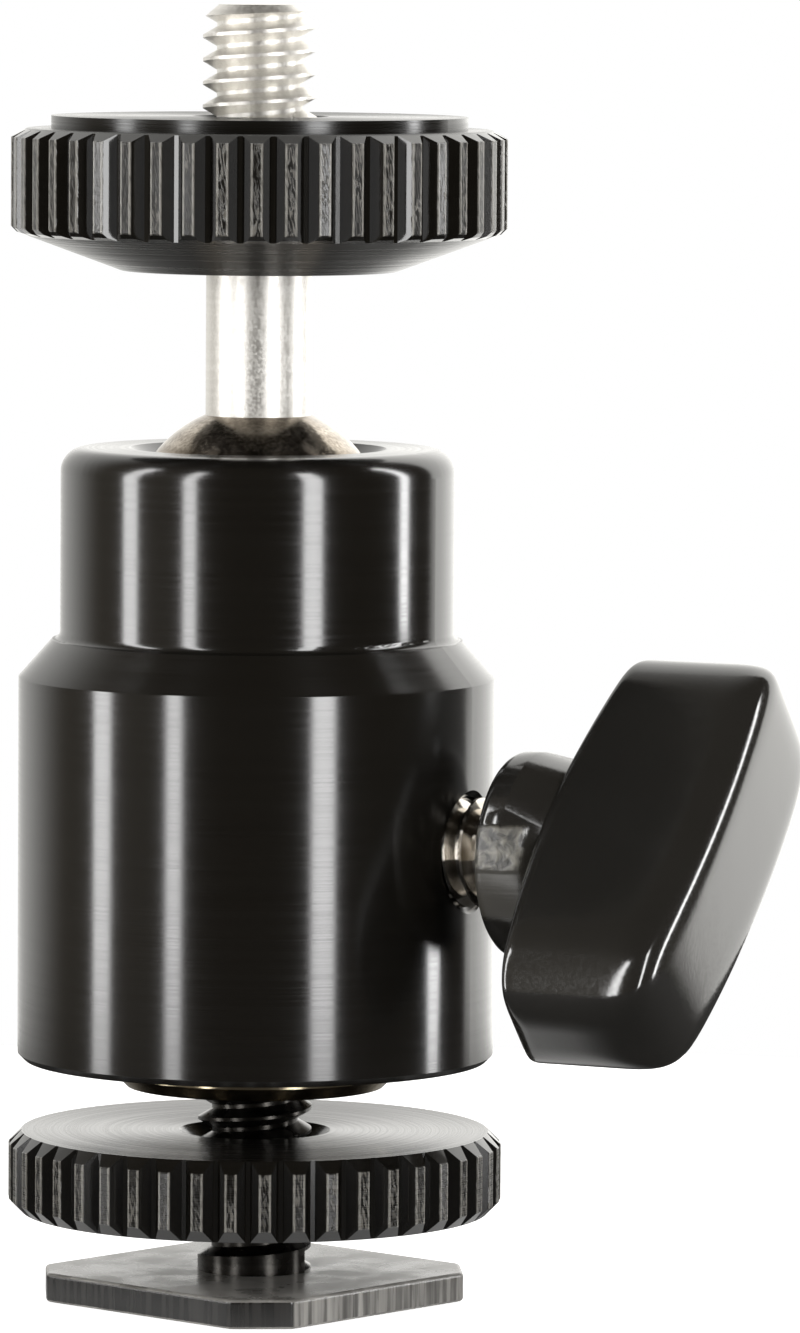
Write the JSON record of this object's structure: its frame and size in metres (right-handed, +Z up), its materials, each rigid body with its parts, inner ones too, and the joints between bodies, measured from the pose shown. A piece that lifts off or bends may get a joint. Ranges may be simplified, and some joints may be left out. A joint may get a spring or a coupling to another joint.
{
  "type": "mini tripod ball head with hot shoe foot",
  "caption": "Small ball head with a drop notch, side clamping knob, knurled camera disc on a threaded stud, and a square hot-shoe foot with its own knurled clamping disc.",
  "frame": {"origin": "middle of the foot's underside, on the axis of the two studs and the body", "axes": "+Z up through the camera stud, +X along the clamping screw towards the knob, the drop notch opens 120 degrees round from +X towards +Y"},
  "size_m": [0.0434, 0.027, 0.0708],
  "materials": {
    "black_anodised": "satin black anodised turning with fine circumferential lines",
    "foot_metal": "blackened steel with brushed sheared edges",
    "stainless": "satin turned stainless",
    "dark_stud": "blackened rolled thread",
    "ball_metal": "turned dark ball",
    "plug_brass": "darkened brass",
    "screw_plate": "nickel plated thread",
    "tip_brass": "plain brass",
    "nylon": "natural nylon",
    "spring_steel": "spring wire",
    "knob_plastic": "black moulded plastic, semi-gloss"
  },
  "bodies": {
    "foot": {"shoe_plate": "foot_metal", "shoe_stud": "dark_stud"},
    "shoe_disc": {"shoe_lock_disc": "black_anodised"},
    "head": {"housing": "black_anodised", "base_plug": "plug_brass", "cup_spring": "spring_steel"},
    "wedge": {"clamp_piston": "tip_brass", "thrust_washer": "spring_steel"},
    "seat": {"ball_seat": "nylon"},
    "ball_and_stud": {"ball": "ball_metal", "camera_stud": "stainless"},
    "camera_disc": {"camera_lock_disc": "black_anodised"},
    "screw_tip": {"lock_tip": "tip_brass"},
    "knob": {"lock_screw": "screw_plate", "lock_knob": "knob_plastic"}
  },
  "joints": [
    {"name": "shoe_disc_slide", "type": "slide", "parent": "foot", "child": "shoe_disc", "axis": [0, 0, 1], "range_m": [-0.0031, 0.0021]},
    {"name": "head_turn", "type": "hinge", "parent": "foot", "child": "head", "pos_m": [0, 0, 0.012], "axis": [0, 0, 1], "range_deg": [-180, 180]},
    {"name": "wedge_lift", "type": "slide", "parent": "head", "child": "wedge", "axis": [0, 0, 1], "range_m": [-0.00021, 0], "stiffness_N_per_m": 5000, "springref_m": 0.0002, "deforming": ["cup_spring"]},
    {"name": "ball_pan", "type": "hinge", "parent": "wedge", "child": "seat", "pos_m": [0, 0, 0.0419], "axis": [0, 0, 1], "range_deg": [0, 360]},
    {"name": "ball_tilt", "type": "hinge", "parent": "seat", "child": "ball_and_stud", "pos_m": [0, 0, 0.0419], "axis": [-0.866, -0.5, 0], "range_deg": [-31, 90]},
    {"name": "camera_disc_slide", "type": "slide", "parent": "ball_and_stud", "child": "camera_disc", "axis": [0, 0, 1], "range_m": [0, 0.0045]},
    {"name": "screw_advance", "type": "slide", "parent": "head", "child": "screw_tip", "axis": [1, 0, 0], "range_m": [0, 0.0015]},
    {"name": "knob_turn", "type": "hinge", "parent": "screw_tip", "child": "knob", "pos_m": [0.02, 0, 0.02524], "axis": [1, 0, 0], "range_deg": [0, 541]}
  ],
  "couplings": [
    {"joint": "knob_turn", "follows": "screw_advance", "rad_per_m": 6283.2},
    {"joint": "wedge_lift", "follows": "screw_advance", "ratio": -0.13333}
  ]
}
